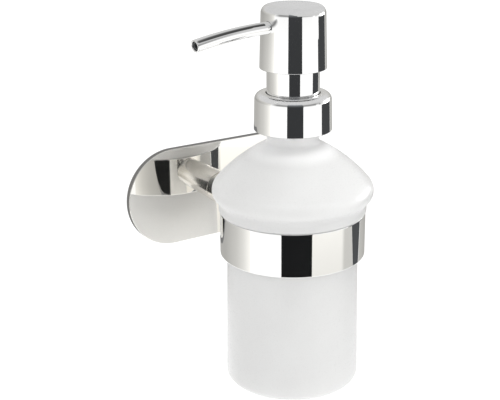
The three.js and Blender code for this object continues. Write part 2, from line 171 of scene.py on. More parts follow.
def softened(profile, size, steps=3):
    """The closed profile with every corner rounded by about the given size, where its sides allow."""
    least_side = 2.5 * size
    rounded = []
    count = len(profile)
    for i in range(count):
        before, here, after = (Vector(profile[k % count]) for k in (i - 1, i, i + 1))
        back, ahead = before - here, after - here
        if back.length < least_side or ahead.length < least_side:
            rounded.append(tuple(here))
            continue
        start = here + back.normalized() * size
        end = here + ahead.normalized() * size
        for k in range(steps + 1):
            t = k / steps
            rounded.append(tuple(start * (1 - t) ** 2 + here * 2 * t * (1 - t) + end * t ** 2))
    return rounded


def even_shading(piece):
    """Large faces lead the shading, so that flat and straight walls reflect without waves."""
    weighted = piece.modifiers.new("even_shading", "WEIGHTED_NORMAL")
    weighted.mode = "FACE_AREA"
    weighted.weight = 100  # the most that it takes
    weighted.keep_sharp = True


def drill(piece, centre, direction, radius, length):
    """Cuts a round hole through a piece, from a centre and along a direction."""
    direction = direction.normalized()
    side = Matrix.Rotation(DRILL_TWIST, 3, direction) @ direction.orthogonal().normalized()
    up = direction.cross(side)
    mesh_data = bmesh.new()
    rings = []
    for ring_radius, distance in ((0, 0), (radius, 0), (radius, length), (0, length)):
        rings.append(circle(centre + direction * distance, ring_radius, side, up, DRILL_SIDES))
    add_loft(mesh_data, rings, False)
    cutter = make_object(piece.name + "_cutter", mesh_data)
    hole = piece.modifiers.new("hole", "BOOLEAN")
    hole.object = cutter
    hole.solver = "EXACT"
    depsgraph = bpy.context.evaluated_depsgraph_get()
    cut = bpy.data.meshes.new_from_object(piece.evaluated_get(depsgraph))
    piece.modifiers.clear()
    piece.data = cut
    bpy.data.objects.remove(cutter)
    round_shading(piece)


def round_shading(piece):
    """Gives the upright round walls of a drilled piece the exact normals of their curve."""
    wall_facing = 0.97  # a face that looks this squarely in or out belongs to such a wall
    mesh = piece.data
    normals = [corner.vector.copy() for corner in mesh.corner_normals]
    for face in mesh.polygons:
        outward = Vector((face.center.x - AXIS.x, face.center.y - AXIS.y, 0)).normalized()
        facing = face.normal.dot(outward)
        if abs(facing) < wall_facing:
            continue
        for loop in face.loop_indices:
            point = mesh.vertices[mesh.loops[loop].vertex_index].co
            radial = Vector((point.x - AXIS.x, point.y - AXIS.y, 0)).normalized()
            level = radial * math.copysign(math.sqrt(1 - face.normal.z ** 2), facing)
            normals[loop] = (level + Vector((0, 0, face.normal.z))).normalized()
    mesh.normals_split_custom_set(normals)


# ------------------------------------------------------------------ material nodes

NOISE_LOW, NOISE_HIGH = 0.3, 0.7  # the range that most of a noise texture falls in


def new_material(name, colour, roughness, metallic=0.0):
    material = bpy.data.materials.new(name)
    material.use_nodes = True
    shader = material.node_tree.nodes["Principled BSDF"]
    shader.inputs["Base Color"].default_value = (*colour, 1)
    shader.inputs["Roughness"].default_value = roughness
    shader.inputs["Metallic"].default_value = metallic
    return material, shader


def object_position(material):
    return material.node_tree.nodes.new("ShaderNodeTexCoord").outputs["Object"]


def noise(material, scale, detail=3.0, stretch=(1, 1, 1)):
    """Noise in the object's own space. scale is in patches per metre."""
    tree = material.node_tree
    mapping = tree.nodes.new("ShaderNodeMapping")
    mapping.inputs["Scale"].default_value = stretch
    tree.links.new(object_position(material), mapping.inputs["Vector"])
    texture = tree.nodes.new("ShaderNodeTexNoise")
    texture.inputs["Scale"].default_value = scale
    texture.inputs["Detail"].default_value = detail
    tree.links.new(mapping.outputs["Vector"], texture.inputs["Vector"])
    return texture.outputs["Fac"]


def between(material, value, low, high):
    """Spreads a noise value over a range."""
    tree = material.node_tree
    node = tree.nodes.new("ShaderNodeMapRange")
    node.inputs["From Min"].default_value = NOISE_LOW
    node.inputs["From Max"].default_value = NOISE_HIGH
    node.inputs["To Min"].default_value = low
    node.inputs["To Max"].default_value = high
    tree.links.new(value, node.inputs["Value"])
    return node.outputs["Result"]


def colour_between(material, value, first, second):
    tree = material.node_tree
    ramp = tree.nodes.new("ShaderNodeValToRGB")
    ramp.color_ramp.elements[0].position = NOISE_LOW
    ramp.color_ramp.elements[0].color = (*first, 1)
    ramp.color_ramp.elements[1].position = NOISE_HIGH
    ramp.color_ramp.elements[1].color = (*second, 1)
    tree.links.new(value, ramp.inputs["Fac"])
    return ramp.outputs["Color"]


def connect(material, output, shader, socket):
    material.node_tree.links.new(output, shader.inputs[socket])


def add_bump(material, shader, height, depth, strength=1.0):
    """depth is the real height of the relief."""
    tree = material.node_tree
    bump = tree.nodes.new("ShaderNodeBump")
    bump.inputs["Strength"].default_value = strength
    bump.inputs["Distance"].default_value = depth
    tree.links.new(height, bump.inputs["Height"])
    tree.links.new(bump.outputs["Normal"], shader.inputs["Normal"])


# ------------------------------------------------------------------ materials


def polished_metal(name, darker, lighter):
    """Mirror-bright metal with faint smudges."""
    material, shader = new_material(name, lighter, 0.03, metallic=1.0)
    smudges = noise(material, 90, detail=4)
    connect(material, between(material, smudges, 0.018, 0.045), shader, "Roughness")
    tint = colour_between(material, noise(material, 35), darker, lighter)
    connect(material, tint, shader, "Base Color")
    return material


def satin_metal(name, tone):
    """The ground tops of the head and the collar, with faint streaks."""
    variation = 0.025
    darker = (tone - variation,) * 3
    lighter = (tone + variation,) * 3
    material, shader = new_material(name, (tone,) * 3, 0.24, metallic=1.0)
    streaks = noise(material, 420, stretch=(0.25, 1.6, 1))
    connect(material, between(material, streaks, 0.2, 0.27), shader, "Roughness")
    tint = colour_between(material, streaks, darker, lighter)
    connect(material, tint, shader, "Base Color")
    add_bump(material, shader, streaks, 0.0008 * MM)
    return material


def raw_shaded_metal():
    """The unpolished inside of the pressed head and collar, its colour darkened further as painted shade for
    the shaded hollows there.
    """
    material, shader = new_material("raw_shaded_metal", (0.4, 0.4, 0.4), 0.5, metallic=1.0)
    mottle = noise(material, 600, detail=4)
    connect(material, between(material, mottle, 0.45, 0.6), shader, "Roughness")
    tint = colour_between(material, mottle, (0.33, 0.33, 0.33), (0.46, 0.46, 0.455))
    connect(material, tint, shader, "Base Color")
    add_bump(material, shader, mottle, 0.01 * MM)
    return material


def turned_metal():
    """The post, polished on a lathe, with fine marks round its length."""
    material, shader = new_material("turned_metal", (0.8, 0.775, 0.73), 0.17, metallic=1.0)
    marks = noise(material, 260, stretch=(1, 14, 1))
    connect(material, between(material, marks, 0.13, 0.21), shader, "Roughness")
    tint = colour_between(material, marks, (0.77, 0.745, 0.7), (0.84, 0.815, 0.77))
    connect(material, tint, shader, "Base Color")
    add_bump(material, shader, marks, 0.003 * MM)
    return material


def height_share(material, low, high):
    """Rises from 0 to 1 between two heights of the piece."""
    tree = material.node_tree
    split = tree.nodes.new("ShaderNodeSeparateXYZ")
    tree.links.new(object_position(material), split.inputs["Vector"])
    node = tree.nodes.new("ShaderNodeMapRange")
    node.interpolation_type = "SMOOTHSTEP"
    node.inputs["From Min"].default_value = low
    node.inputs["From Max"].default_value = high
    tree.links.new(split.outputs["Z"], node.inputs["Value"])
    return node.outputs["Result"]


def frosted_glass():
    """Milky, acid-etched glass with soft light inside. Painted light whitens its colour from the dome into
    the neck, to lift the shade that the collar casts there.
    """
    neck_painted_light = (0.99, 0.99, 0.985, 1)
    painted_light_from = BOTTLE_HIGH.z - 23.5 * MM
    painted_light_to = BOTTLE_HIGH.z - 18.5 * MM
    material, shader = new_material("frosted_glass", (0.71, 0.71, 0.705), 0.3)
    shader.inputs["IOR"].default_value = 1.5
    shader.inputs["Subsurface Weight"].default_value = 0.85
    shader.inputs["Subsurface Radius"].default_value = (1, 1, 1)
    shader.inputs["Subsurface Scale"].default_value = 6 * MM
    cloud = noise(material, 45)
    body = colour_between(material, cloud, (0.7, 0.7, 0.694), (0.725, 0.726, 0.72))
    # painted light: the base colour blends to near white towards the neck, over the collar's shade
    blend = material.node_tree.nodes.new("ShaderNodeMix")
    blend.data_type = "RGBA"
    blend.inputs["B"].default_value = neck_painted_light
    connect(material, height_share(material, painted_light_from, painted_light_to), blend, "Factor")
    connect(material, body, blend, "A")
    connect(material, blend.outputs["Result"], shader, "Base Color")
    grain = noise(material, 2600, detail=2)
    connect(material, between(material, grain, 0.26, 0.34), shader, "Roughness")
    add_bump(material, shader, grain, 0.006 * MM, 0.6)
    return material


def moulded_plastic(name, first, second, roughness, scattering=0.0):
    """Plastic or rubber with a cloudy tone and the fine grain of its mould."""
    material, shader = new_material(name, first, roughness)
    shader.inputs["Subsurface Weight"].default_value = scattering
    shader.inputs["Subsurface Scale"].default_value = 1.5 * MM
    connect(material, colour_between(material, noise(material, 120), first, second), shader, "Base Color")
    grain = noise(material, 1500)
    connect(material, between(material, grain, roughness - 0.06, roughness + 0.06), shader, "Roughness")
    add_bump(material, shader, grain, 0.01 * MM, 0.5)
    return material


def soft_foam():
    """Foam tape, with open cells in its surface."""
    material, shader = new_material("white_foam", (0.8, 0.8, 0.78), 0.9)
    cells = noise(material, 1400, detail=5)
    tint = colour_between(material, cells, (0.7, 0.7, 0.68), (0.86, 0.86, 0.84))
    connect(material, tint, shader, "Base Color")
    add_bump(material, shader, cells, 0.08 * MM)
    return material


def drawn_steel(name, first, second, roughness):
    """Plain steel of small fittings, with fine level streaks."""
    material, shader = new_material(name, first, roughness, metallic=1.0)
    streaks = noise(material, 700, detail=4, stretch=(1, 1, 3))
    connect(material, colour_between(material, streaks, first, second), shader, "Base Color")
    connect(material, between(material, streaks, roughness - 0.05, roughness + 0.08), shader, "Roughness")
    add_bump(material, shader, streaks, 0.004 * MM)
    return material


POLISHED = polished_metal("polished_metal", (0.92, 0.92, 0.915), (0.945, 0.945, 0.94))
PLATE_STEEL = polished_metal("plate_steel", (0.93, 0.915, 0.88), (0.95, 0.935, 0.9))
# The head's and the collar's tops are one satin; the collar's copy is painted lighter, as painted light for
# how the light falls on it.
HEAD_SATIN = satin_metal("head_satin", 0.91)
COLLAR_SATIN_PAINTED_LIGHT = satin_metal("collar_satin_painted_light", 0.97)
RAW_SHADED = raw_shaded_metal()
TURNED = turned_metal()
GLASS = frosted_glass()
WHITE_PLASTIC = moulded_plastic("white_plastic", (0.82, 0.82, 0.8), (0.88, 0.88, 0.87), 0.42, 0.1)
CLEAR_PLASTIC = moulded_plastic("clear_plastic", (0.66, 0.7, 0.7), (0.74, 0.78, 0.78), 0.3, 0.4)
# painted shade: the spout's liner is clear plastic, coloured nearly black here so that the bore at the tip
# reads dark
BORE_PAINTED_SHADE = moulded_plastic("bore_painted_shade", (0.05, 0.052, 0.054), (0.08, 0.083, 0.085), 0.35)
RUBBER = moulded_plastic("grey_rubber", (0.13, 0.135, 0.14), (0.19, 0.195, 0.2), 0.72)
FOAM = soft_foam()
SCREW_STEEL = drawn_steel("screw_steel", (0.4, 0.41, 0.42), (0.52, 0.53, 0.54), 0.3)
SPRING_STEEL = drawn_steel("spring_steel", (0.36, 0.37, 0.38), (0.5, 0.51, 0.52), 0.22)


def dress(piece, body, slot, material, *nodes):
    """Puts a finished piece on its body, in place of the CAD nodes that it stands for."""
    piece.data.materials.append(material)
    even_shading(piece)
    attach(piece, body)
    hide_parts(*nodes)


# ------------------------------------------------------------------ wall side


def oblong(inset, depth, corner_steps=48):
    """A ring round the plate's outline, moved inwards by inset, at a distance from the wall."""
    half = (PLATE_HIGH - PLATE_LOW) / 2
    straight = half.x - half.z
    points = []
    for side in (1, -1):
        for i in range(corner_steps + 1):
            angle = math.pi * (i / corner_steps - 0.5)
            x = side * (straight + (half.z - inset) * math.cos(angle))
            z = side * (half.z - inset) * math.sin(angle)
            points.append(Vector((x, -depth, z)))
    return points


def window(radius, depth):
    """A circle with as many points as the oblong, matched to it by direction."""
    return [Vector((p.x, 0, p.z)).normalized() * radius + Vector((0, -depth, 0)) for p in oblong(0, 0)]


def bevelled_oblong(inset, back, front, bevel, steps=4):
    """Rings over the rim of an oblong sheet, from its back to its front, with rounded edges."""
    back_edge, front_edge = [], []
    for i in range(steps + 1):
        angle = math.pi / 2 * i / steps
        across = bevel * (1 - math.cos(angle))
        down = bevel * (1 - math.sin(angle))
        back_edge.append(oblong(inset + down, back + across))
        front_edge.append(oblong(inset + across, front - down))
    return back_edge + front_edge


def wall_plate():
    """The oblong cover, turned back at its rim, with a hole for the post's screw."""
    back = -PLATE_HIGH.y
    front = -PLATE_LOW.y
    screw_hole = 2.7 * MM
    rings = bevelled_oblong(0, back, front, bevel=0.25 * MM)
    rings.append(window(screw_hole, front))
    rings.append(window(screw_hole, front - SHEET))
    rings.append(oblong(SHEET, front - SHEET))
    rings.append(oblong(SHEET, back))
    mesh_data = bmesh.new()
    add_loft(mesh_data, rings, True)
    piece = make_object("wall_plate_cover", mesh_data)
    dress(piece, "wall_bracket", "polished_metal", PLATE_STEEL, "wall_plate")


def wall_adapter():
    """The plate behind the cover, with a round opening for the screw's head."""
    low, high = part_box("wall_adapter")
    opening = 6 * MM
    rings = bevelled_oblong(PLATE_HIGH.x - high.x, -high.y, -low.y, bevel=0.3 * MM)
    rings.append(window(opening, -low.y))
    rings.append(window(opening, -high.y))
    mesh_data = bmesh.new()
    add_loft(mesh_data, rings, True)
    piece = make_object("moulded_adapter", mesh_data)
    dress(piece, "wall_bracket", "white_plastic", WHITE_PLASTIC, "wall_adapter")


def adhesive_pad():
    low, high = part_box("adhesive_pad")
    rings = bevelled_oblong(PLATE_HIGH.x - high.x, -high.y, -low.y, bevel=0.2 * MM)
    rings.insert(0, window(0, -high.y))
    rings.append(window(0, -low.y))
    mesh_data = bmesh.new()
    add_loft(mesh_data, rings, False)
    piece = make_object("foam_pad", mesh_data)
    dress(piece, "wall_bracket", "white_foam", FOAM, "adhesive_pad")


def support_post():
    """A tapered post that ends in a saddle on the ring, with a spigot through the band."""
    root_radius = 7.8 * MM
    tip_radius = 7 * MM
    screw_bore = 2.5 * MM
    bore_end = -PLATE_FACE + 13 * MM
    bevel = 0.3 * MM
    bevel_step = bevel * 0.3
    start = -POST_HIGH.y

    def level(distance):
        return lambda x: -distance

    def saddle(radius):
        return lambda x: AXIS.y + math.sqrt(radius ** 2 - x ** 2)

    outside = saddle(RING_RADIUS + GAP)
    inside = saddle(RING_INSIDE)
    stations = [
        (POLE, level(bore_end)),
        (screw_bore, level(bore_end)),
        (screw_bore, level(start)),
        (root_radius - bevel, level(start)),
        (root_radius - bevel_step, level(start + bevel_step)),
        (root_radius, level(start + bevel)),
        (tip_radius, outside),
        (SPIGOT_RADIUS, outside),
        (SPIGOT_RADIUS, inside),
        (POLE, inside),
    ]
    rings = []
    for radius, place in stations:
        ring = circle(Vector((0, 0, 0)), radius, up=Vector((0, 0, 1)))
        rings.append([Vector((p.x, place(p.x), p.z)) for p in ring])
    mesh_data = bmesh.new()
    add_loft(mesh_data, rings, False)
    piece = make_object("tapered_post", mesh_data)
    dress(piece, "wall_bracket", "polished_metal", TURNED, "support_post")


def band_profile(inside, outside, low, high, edge):
    """A round band's wall, with every edge rounded."""
    return softened([(inside, low), (outside, low), (outside, high), (inside, high)], edge)


def ring_band():
    """The band round the bottle, drilled for the post's spigot."""
    profile = band_profile(RING_INSIDE, RING_RADIUS, RING_LOW.z, RING_HIGH.z, 0.4 * MM)
    piece = turned("steel_ring", profile)
    drill(piece, AXIS, Vector((0, 1, 0)), SPIGOT_RADIUS + GAP, length=60 * MM)
    dress(piece, "wall_bracket", "polished_metal", POLISHED, "ring_band")


# ------------------------------------------------------------------ bottle


def glass_profile():
    """The bottle's outside from the middle of its foot up to the rim, and back down inside."""
    foot_radius = 30.9 * MM
    foot_fillet = 2.5 * MM
    waist_radius = 29.5 * MM
    waist_bevel = 0.4 * MM
    lip_radius = 33.4 * MM
    lip_bottom = RING_HIGH.z + GAP
    lip_fillet = 0.9 * MM
    shoulder_radius = 36.4 * MM
    shoulder_height = 17.6 * MM
    under_arc = 4.5 * MM
    edge_arc = 6.75 * MM
    dome_arc = 73.8 * MM
    edge_angle = 41  # degrees from the outward direction, where the shoulder's edge meets the dome
    neck_fillet = 2 * MM
    neck_bore = 9.8 * MM
    rim = 0.6 * MM
    wall = 3 * MM
    floor = BOTTLE_LOW.z + 5 * MM
    floor_fillet = 4 * MM
    inside_waist = RING_HIGH.z - 1 * MM
    inside_turn = -40  # degrees, where the shoulder's inside runs down to the waist
    top = BOTTLE_HIGH.z

    overhang = shoulder_radius - lip_radius
    under_angle = math.degrees(math.acos(1 - overhang / (2 * under_arc)))
    lip_top = shoulder_height - 2 * under_arc * math.sin(math.radians(under_angle))
    edge_centre = shoulder_radius - edge_arc
    dome_centre = edge_centre + (edge_arc - dome_arc) * math.cos(math.radians(edge_angle))
    dome_height = shoulder_height + (edge_arc - dome_arc) * math.sin(math.radians(edge_angle))
    dome_end = math.acos((NECK_RADIUS + neck_fillet - dome_centre) / (dome_arc + neck_fillet))
    dome_angle = math.degrees(dome_end)
    fillet_height = dome_height + (dome_arc + neck_fillet) * math.sin(dome_end)

    outside = [(0, BOTTLE_LOW.z)]
    outside += arc(foot_radius - foot_fillet, BOTTLE_LOW.z + foot_fillet, foot_fillet, -90, 0, 10)
    outside += [(waist_radius, lip_bottom - waist_bevel), (waist_radius + waist_bevel, lip_bottom)]
    outside += arc(lip_radius - lip_fillet, lip_bottom + lip_fillet, lip_fillet, -90, 0, 8)
    outside += arc(lip_radius + under_arc, lip_top, under_arc, 180, 180 - under_angle, 12)
    outside += arc(shoulder_radius - under_arc, shoulder_height, under_arc, -under_angle, 0, 12)[1:]
    outside += arc(edge_centre, shoulder_height, edge_arc, 0, edge_angle, 14)[1:]
    outside += arc(dome_centre, dome_height, dome_arc, edge_angle, dome_angle, 24)[1:]
    outside += arc(NECK_RADIUS + neck_fillet, fillet_height, neck_fillet, 180 + dome_angle, 180, 8)[1:]
    outside += arc(NECK_RADIUS - rim, top - rim, rim, 0, 90, 4)
    inside = arc(neck_bore + rim, top - rim, rim, 90, 180, 4)
    inside += [(neck_bore, fillet_height - wall)]
    inside += arc(dome_centre, dome_height, dome_arc - wall, dome_angle - 1, edge_angle, 24)
    inside += arc(edge_centre, shoulder_height, edge_arc - wall, edge_angle, inside_turn, 14)[1:]
    inside += [(waist_radius - wall, inside_waist)]
    inside += arc(foot_radius - wall - floor_fillet, floor + floor_fillet, floor_fillet, 0, -90, 8)
    inside += [(0, floor)]
    return outside + inside


def add_coil(mesh_data, radius, turns, height, thickness, sides=16):
    """A round wire wound about the axis. height and thickness are read at a share of its length."""
    steps_per_turn = 64
    steps = round(turns * steps_per_turn)
    rings = []
    for i in range(steps + 1):
        share = i / steps
        angle = 2 * math.pi * turns * share
        outward = Vector((math.cos(angle), math.sin(angle), 0))
        centre = AXIS + outward * radius + Vector((0, 0, height(share)))
        rings.append(circle(centre, thickness(share), outward, Vector((0, 0, 1)), sides))
    rings.insert(0, circle(sum(rings[0], Vector()) / sides, 0, sides=sides))
    rings.append(circle(sum(rings[-1], Vector()) / sides, 0, sides=sides))
    add_loft(mesh_data, rings, False)


def add_thread(mesh_data):
    """The rounded screw ridge on the neck, which runs out at both ends."""
    turns = 1.5
    pitch = 4.2 * MM
    bottom = 48.7 * MM
    ridge = 1.1 * MM
    run_out = 12  # the ridge reaches its full size over one twelfth of its length
    tip = 0.05  # its size at the ends, as a share

    def height(share):
        return bottom + pitch * turns * share

    def thickness(share):
        return ridge * min(1, run_out * share + tip, run_out * (1 - share) + tip)

    add_coil(mesh_data, NECK_RADIUS + GAP, turns, height, thickness)


def glass_bottle():
    mesh_data = bmesh.new()
    rings = [circle(AXIS + Vector((0, 0, height)), radius) for radius, height in glass_profile()]
    add_loft(mesh_data, rings, False)
    add_thread(mesh_data)
    piece = make_object("frosted_bottle", mesh_data)
    dress(piece, "bottle", "frosted_glass", GLASS, "glass_bottle")


# ------------------------------------------------------------------ collar and sleeve


def finish_shell(piece, satin, top):
    """Satin over the top and its round edge, and raw metal darkened as painted shade inside. The walls stay
    polished.
    """
    level = 0.45  # a face whose normal rises this much belongs to the top or its edge
    inward = -0.2  # a face that looks towards the axis more than this is inside
    edge = 4 * MM  # the satin's reach down the round edge, a little over its radius
    piece.data.materials.append(satin)
    piece.data.materials.append(RAW_SHADED)
    for face in piece.data.polygons:
        outward = Vector((face.center.x - AXIS.x, face.center.y - AXIS.y, 0)).normalized()
        rise = face.normal.z
        if rise > level and face.center.z > top - 0.5 * SHEET - (1 - rise) * edge:
            face.material_index = 1
        elif face.normal.dot(outward) < inward or rise < -level:
            face.material_index = 2


def collar_shell():
    bottom_radius = box_radius("collar_shell")
    top_radius = bottom_radius - 0.3 * MM
    fillet = 3 * MM
    hole = 12.05 * MM
    top = COLLAR_HIGH.z
    edge = 0.15 * MM
    profile = [(bottom_radius - SHEET, COLLAR_LOW.z)]
    profile += arc(bottom_radius - 2 * edge, COLLAR_LOW.z + 2 * edge, 2 * edge, -90, 0, 4)
    profile += arc(top_radius - fillet, top - fillet, fillet, 0, 90, 14)
    profile += arc(hole + edge, top - edge, edge, 90, 180, 3)
    profile += [(hole, top - SHEET)]
    profile += arc(top_radius - fillet, top - fillet, fillet - SHEET, 90, 0, 8)
    piece = turned("collar_cover", profile)
    dress(piece, "collar", "polished_metal", POLISHED, "collar_shell")
    finish_shell(piece, COLLAR_SATIN_PAINTED_LIGHT, top)


def metal_sleeve():
    inside = 11 * MM
    profile = band_profile(inside, box_radius("metal_sleeve"), SLEEVE_LOW.z, SLEEVE_HIGH.z, 0.15 * MM)
    piece = turned("neck_sleeve", profile)
    dress(piece, "collar", "polished_metal", POLISHED, "metal_sleeve")


# ------------------------------------------------------------------ head and spout

SPOUT_TURN = math.radians(6)  # from the wall's line, towards the front
SPOUT_OUT = Vector((-math.cos(SPOUT_TURN), -math.sin(SPOUT_TURN), 0))
SPOUT_SIDE = Vector((-SPOUT_OUT.y, SPOUT_OUT.x, 0))
SPOUT_RADIUS = 2.6 * MM
SPOUT_BORE = 1.95 * MM
SPOUT_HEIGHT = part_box("spout_tube")[1].z - SPOUT_RADIUS
SPOUT_START = 6.5 * MM  # from the axis, inside the head
SPOUT_STRAIGHT_END = 13 * MM
SPOUT_BEND = 230 * MM  # radius of the downward bend
SPOUT_REACH = 51.6 * MM  # from the axis, measured level
LINER_BORE = 1.2 * MM
LINER_INSET = 0.6 * MM  # how far the liner stops short of the tip


def head_shell():
    """The pressed cap, drilled for the spout."""
    bottom_radius = box_radius("head_shell")
    top_radius = bottom_radius - 0.65 * MM
    fillet = 3.6 * MM
    top = HEAD_HIGH.z
    edge = 0.2 * MM
    profile = [(0, top - SHEET)]
    profile += arc(top_radius - fillet, top - fillet, fillet - SHEET, 90, 0, 10)
    profile += [(bottom_radius - SHEET, HEAD_LOW.z)]
    profile += arc(bottom_radius - edge, HEAD_LOW.z + edge, edge, -90, 0, 4)
    profile += arc(top_radius - fillet, top - fillet, fillet, 0, 90, 18)
    profile += [(0, top)]
    piece = turned("head_cap", profile, False)
    piece.data.materials.append(POLISHED)
    spout_root = AXIS + Vector((0, 0, SPOUT_HEIGHT))
    drill(piece, spout_root, SPOUT_OUT, SPOUT_RADIUS + GAP, length=20 * MM)
    finish_shell(piece, HEAD_SATIN, top)
    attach(piece, "head")
    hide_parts("head_shell")


def spout_place(distance):
    """Centre and upward direction of the spout at a distance along its line."""
    straight = SPOUT_STRAIGHT_END - SPOUT_START
    base = AXIS + Vector((0, 0, SPOUT_HEIGHT))
    if distance <= straight:
        return base + SPOUT_OUT * (SPOUT_START + distance), Vector((0, 0, 1))
    angle = (distance - straight) / SPOUT_BEND
    out = SPOUT_STRAIGHT_END + SPOUT_BEND * math.sin(angle)
    drop = SPOUT_BEND * (1 - math.cos(angle))
    up = Vector((0, 0, 1)) * math.cos(angle) + SPOUT_OUT * math.sin(angle)
    return base + SPOUT_OUT * out - Vector((0, 0, drop)), up


def spout_length(reach):
    """Length along the spout's line to a level distance from the axis."""
    bend_angle = math.asin((reach - SPOUT_STRAIGHT_END) / SPOUT_BEND)
    return SPOUT_STRAIGHT_END - SPOUT_START + bend_angle * SPOUT_BEND


def bent_tube(name, radius, bore, reach, sides):
    """A tube along the spout's line, with a rounded rim at its tip."""
    steps = 40
    length = spout_length(reach)
    rim = (radius - bore) / 2
    stations = [(radius, length * i / steps) for i in range(steps)]
    stations += arc(radius - rim, length - rim, rim, 0, 180, 10)
    stations += [(bore, length * (steps - 1 - i) / steps) for i in range(steps)]
    rings = []
    for ring_radius, distance in stations:
        centre, up = spout_place(distance)
        rings.append(circle(centre, ring_radius, SPOUT_SIDE, up, sides))
    mesh_data = bmesh.new()
    add_loft(mesh_data, rings, True)
    return make_object(name, mesh_data)


def spout_tube():
    piece = bent_tube("bent_spout", SPOUT_RADIUS, SPOUT_BORE, SPOUT_REACH, SIDES)
    dress(piece, "head", "polished_metal", POLISHED, "spout_tube")


def spout_liner():
    piece = bent_tube("inner_spout", SPOUT_BORE - GAP, LINER_BORE, SPOUT_REACH - LINER_INSET, 40)
    # painted shade: the clear liner takes the nearly black bore colour
    dress(piece, "head", "clear_plastic", BORE_PAINTED_SHADE, "spout_liner")


# ------------------------------------------------------------------ spring


def return_spring():
    """The spring under the piston, with flat end turns, built at one length; the real spring shortens as the
    head is pressed.
    """
    low, high, half = node_box("return_spring")
    wire = 0.45 * MM
    turns = 7
    bottom = low.z + wire
    top = high.z - wire
    end_turn = 1 / turns
    end_rise = 2 * wire + GAP
    height_stops = ((0, bottom), (end_turn, bottom + end_rise), (1 - end_turn, top - end_rise), (1, top))
    mesh_data = bmesh.new()
    add_coil(
        mesh_data, half.x - wire, turns,
        height=lambda share: graded(share, *height_stops),
        thickness=lambda share: wire,
        sides=12,
    )
    piece = make_object("coil_spring", mesh_data)
    dress(piece, "pump", "spring_steel", SPRING_STEEL, "return_spring")
    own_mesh(piece)


# ------------------------------------------------------------------ pieces that keep their CAD shape

CAD_MATERIALS = {
    "post_screw": SCREW_STEEL,
    "neck_gasket": RUBBER,
    "pump_housing": CLEAR_PLASTIC,
    "lock_ring": WHITE_PLASTIC,
    "dip_tube": CLEAR_PLASTIC,
    "spring_seat": WHITE_PLASTIC,
    "inlet_ball": SPRING_STEEL,
    "piston_seal": RUBBER,
    "outlet_ball": SPRING_STEEL,
    "threaded_closure": WHITE_PLASTIC,
    "piston_stem": WHITE_PLASTIC,
    "actuator_insert": WHITE_PLASTIC,
}


def finish_cad_nodes():
    """Gives the nodes that stay as they are their finish, on the object and not on its mesh."""
    for name, material in CAD_MATERIALS.items():
        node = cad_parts[name]
        if not node.material_slots:
            node.data.materials.append(material)
        for material_slot in node.material_slots:
            material_slot.link = "OBJECT"
            material_slot.material = material


# ------------------------------------------------------------------ camera and studio

CAMERA_AIM = Vector((-0.0047, AXIS.y + 0.0042, 0.0118))
CAMERA_AZIMUTH = math.radians(-33.42)
CAMERA_ELEVATION = math.radians(19.34)
CAMERA_DISTANCE = 0.48
SHOULDER_HEIGHT = 0.02
FLOOR_HEIGHT = -0.4
FLOOR_HALF = 8
FLOOR_LIGHT = 1.15
SKY_LIGHT = 0.66

NEUTRAL = (1, 1, 1)
COOL = (0.96, 1, 1.05)
WARM = (1.0, 0.985, 0.94)

# The cards stand on a round tent about the bottle's axis. They are placed by the azimuth, from +X as
# seen from above, and the elevation in degrees at which the axis sees them.
TENT_RADIUS = 0.9
CARD_FOOT = -26
FLOOR_END = -3
HORIZON_TOP = 38
LEFT_END = -192
FRONT_LEFT = -141
FRONT_RIGHT = -94
RIGHT_END = -28
BOX_LEFT = -26
BOX_RIGHT = 14
REAR_END = 168


def level_to_camera():
    """The level part of the unit direction from the object to the camera."""
    level = math.cos(CAMERA_ELEVATION)
    return Vector((math.sin(CAMERA_AZIMUTH) * level, -math.cos(CAMERA_AZIMUTH) * level))


def add_camera():
    data = bpy.data.cameras.new("camera")
    data.lens = 76.3
    data.sensor_width = 36
    data.shift_x = -0.0576
    data.clip_start = 0.01
    data.clip_end = 50
    camera = bpy.data.objects.new("camera", data)
    back = Vector((*level_to_camera(), math.sin(CAMERA_ELEVATION)))
    camera.location = CAMERA_AIM + back * CAMERA_DISTANCE
    camera.rotation_euler = (math.pi / 2 - CAMERA_ELEVATION, 0, CAMERA_AZIMUTH)
    bpy.context.scene.collection.objects.link(camera)
    bpy.context.scene.camera = camera


def glowing(name, colour, strength):
    """A plain light-giving material for the floor and the sheets and cards round the object."""
    material = bpy.data.materials.new(name)
    material.use_nodes = True
    tree = material.node_tree
    tree.nodes.clear()
    emission = tree.nodes.new("ShaderNodeEmission")
    emission.inputs["Color"].default_value = (*colour, 1)
    emission.inputs["Strength"].default_value = strength
    output = tree.nodes.new("ShaderNodeOutputMaterial")
    tree.links.new(emission.outputs["Emission"], output.inputs["Surface"])
    return material


def stage_sheet(name, corners, material, seen=True):
    """A flat sheet that isn't part of the object. Unless it is seen, only reflections show it."""
    mesh = bpy.data.meshes.new(name)
    mesh.from_pydata(corners, [], [range(len(corners))])
    sheet = bpy.data.objects.new(name, mesh)
    sheet.data.materials.append(material)
    sheet.visible_camera = seen
    sheet.visible_diffuse = seen
    sheet.visible_shadow = seen
    bpy.context.scene.collection.objects.link(sheet)


def card_material():
    """Gives out the light that each card holds at its points."""
    material = glowing("card_light", (1, 1, 1), 1.0)
    tree = material.node_tree
    light = tree.nodes.new("ShaderNodeAttribute")
    light.attribute_name = "light"
    tree.links.new(light.outputs["Color"], tree.nodes["Emission"].inputs["Color"])
    return material


